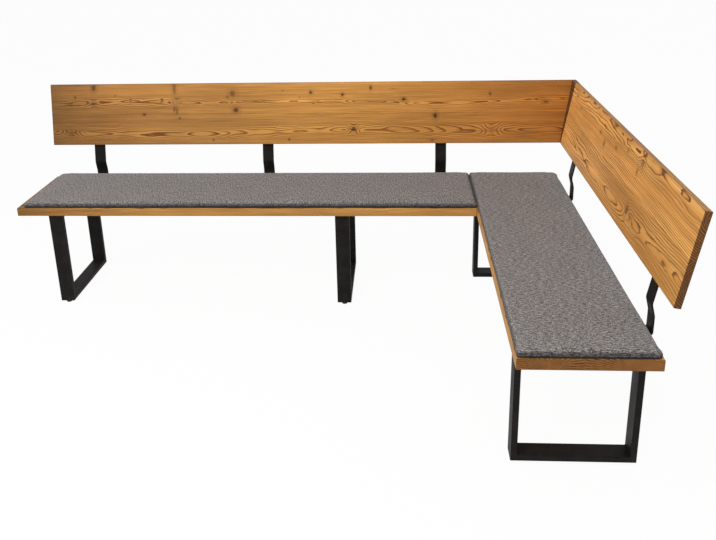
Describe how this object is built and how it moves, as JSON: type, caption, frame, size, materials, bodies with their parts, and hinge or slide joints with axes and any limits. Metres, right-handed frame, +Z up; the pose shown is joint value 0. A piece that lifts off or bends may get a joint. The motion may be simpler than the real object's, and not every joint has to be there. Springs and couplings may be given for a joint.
{
  "type": "corner bench",
  "caption": "L-shaped corner bench: wooden seat planks and leaning mitred backrests on closed black steel sled frames, with flat loose cushions and screw glides",
  "frame": {"origin": "on the floor, in the middle of the bench's own box", "axes": "+Z up; +X along the long bench towards the corner; +Y towards the long bench's backrest, so the short bench runs along -Y from the corner with its backrest at +X"},
  "size_m": [2.4211, 1.5501, 0.8895],
  "materials": {
    "spruce": "oiled, matt",
    "black_steel": "fine powder coat, matt",
    "cushion_cover": "melange weave",
    "glide_plastic": "matt",
    "zinc_steel": "zinc plated"
  },
  "bodies": {
    "bench": {"backrest_corner_bracket": "black_steel", "corner_bracket_screws": "zinc_steel", "corner_sled_back_leg": "black_steel", "corner_sled_front_leg": "black_steel", "corner_sled_skid": "black_steel", "corner_sled_top_bar": "black_steel", "end_sled_back_leg": "black_steel", "end_sled_front_leg": "black_steel", "end_sled_skid": "black_steel", "end_sled_top_bar": "black_steel", "glide_nuts": "zinc_steel", "joining_plate_back": "black_steel", "joining_plate_front": "black_steel", "joining_plate_screws": "zinc_steel", "left_sled_back_leg": "black_steel", "left_sled_front_leg": "black_steel", "left_sled_skid": "black_steel", "left_sled_top_bar": "black_steel", "long_back_support_1": "black_steel", "long_back_support_2": "black_steel", "long_back_support_3": "black_steel", "long_backrest_board": "spruce", "long_seat_plank": "spruce", "middle_sled_back_leg": "black_steel", "middle_sled_front_leg": "black_steel", "middle_sled_skid": "black_steel", "middle_sled_top_bar": "black_steel", "short_back_support_1": "black_steel", "short_back_support_2": "black_steel", "short_backrest_board": "spruce", "short_seat_plank": "spruce", "sled_screws": "zinc_steel", "support_board_screws": "zinc_steel", "support_foot_screws": "zinc_steel"},
    "corner_sled_back_glide": {"corner_sled_back_glide_foot": "glide_plastic", "corner_sled_back_glide_stem": "zinc_steel"},
    "corner_sled_front_glide": {"corner_sled_front_glide_foot": "glide_plastic", "corner_sled_front_glide_stem": "zinc_steel"},
    "end_sled_back_glide": {"end_sled_back_glide_foot": "glide_plastic", "end_sled_back_glide_stem": "zinc_steel"},
    "end_sled_front_glide": {"end_sled_front_glide_foot": "glide_plastic", "end_sled_front_glide_stem": "zinc_steel"},
    "left_sled_back_glide": {"left_sled_back_glide_foot": "glide_plastic", "left_sled_back_glide_stem": "zinc_steel"},
    "left_sled_front_glide": {"left_sled_front_glide_foot": "glide_plastic", "left_sled_front_glide_stem": "zinc_steel"},
    "middle_sled_back_glide": {"middle_sled_back_glide_foot": "glide_plastic", "middle_sled_back_glide_stem": "zinc_steel"},
    "middle_sled_front_glide": {"middle_sled_front_glide_foot": "glide_plastic", "middle_sled_front_glide_stem": "zinc_steel"},
    "long_cushion": {"long_seat_cushion": "cushion_cover"},
    "short_cushion": {"short_seat_cushion": "cushion_cover"}
  },
  "joints": [
    {"name": "corner_sled_back_glide_screw_out", "type": "slide", "parent": "bench", "child": "corner_sled_back_glide", "axis": [0, 0, -1], "range_m": [0, 0.01]},
    {"name": "corner_sled_front_glide_screw_out", "type": "slide", "parent": "bench", "child": "corner_sled_front_glide", "axis": [0, 0, -1], "range_m": [0, 0.01]},
    {"name": "end_sled_back_glide_screw_out", "type": "slide", "parent": "bench", "child": "end_sled_back_glide", "axis": [0, 0, -1], "range_m": [0, 0.01]},
    {"name": "end_sled_front_glide_screw_out", "type": "slide", "parent": "bench", "child": "end_sled_front_glide", "axis": [0, 0, -1], "range_m": [0, 0.01]},
    {"name": "left_sled_back_glide_screw_out", "type": "slide", "parent": "bench", "child": "left_sled_back_glide", "axis": [0, 0, -1], "range_m": [0, 0.01]},
    {"name": "left_sled_front_glide_screw_out", "type": "slide", "parent": "bench", "child": "left_sled_front_glide", "axis": [0, 0, -1], "range_m": [0, 0.01]},
    {"name": "middle_sled_back_glide_screw_out", "type": "slide", "parent": "bench", "child": "middle_sled_back_glide", "axis": [0, 0, -1], "range_m": [0, 0.01]},
    {"name": "middle_sled_front_glide_screw_out", "type": "slide", "parent": "bench", "child": "middle_sled_front_glide", "axis": [0, 0, -1], "range_m": [0, 0.01]},
    {"name": "long_seat_cushion_lift", "type": "slide", "parent": "bench", "child": "long_cushion", "axis": [0, 0, 1], "range_m": [0, 0.45]},
    {"name": "short_seat_cushion_lift", "type": "slide", "parent": "bench", "child": "short_cushion", "axis": [0, 0, 1], "range_m": [0, 0.45]}
  ]
}
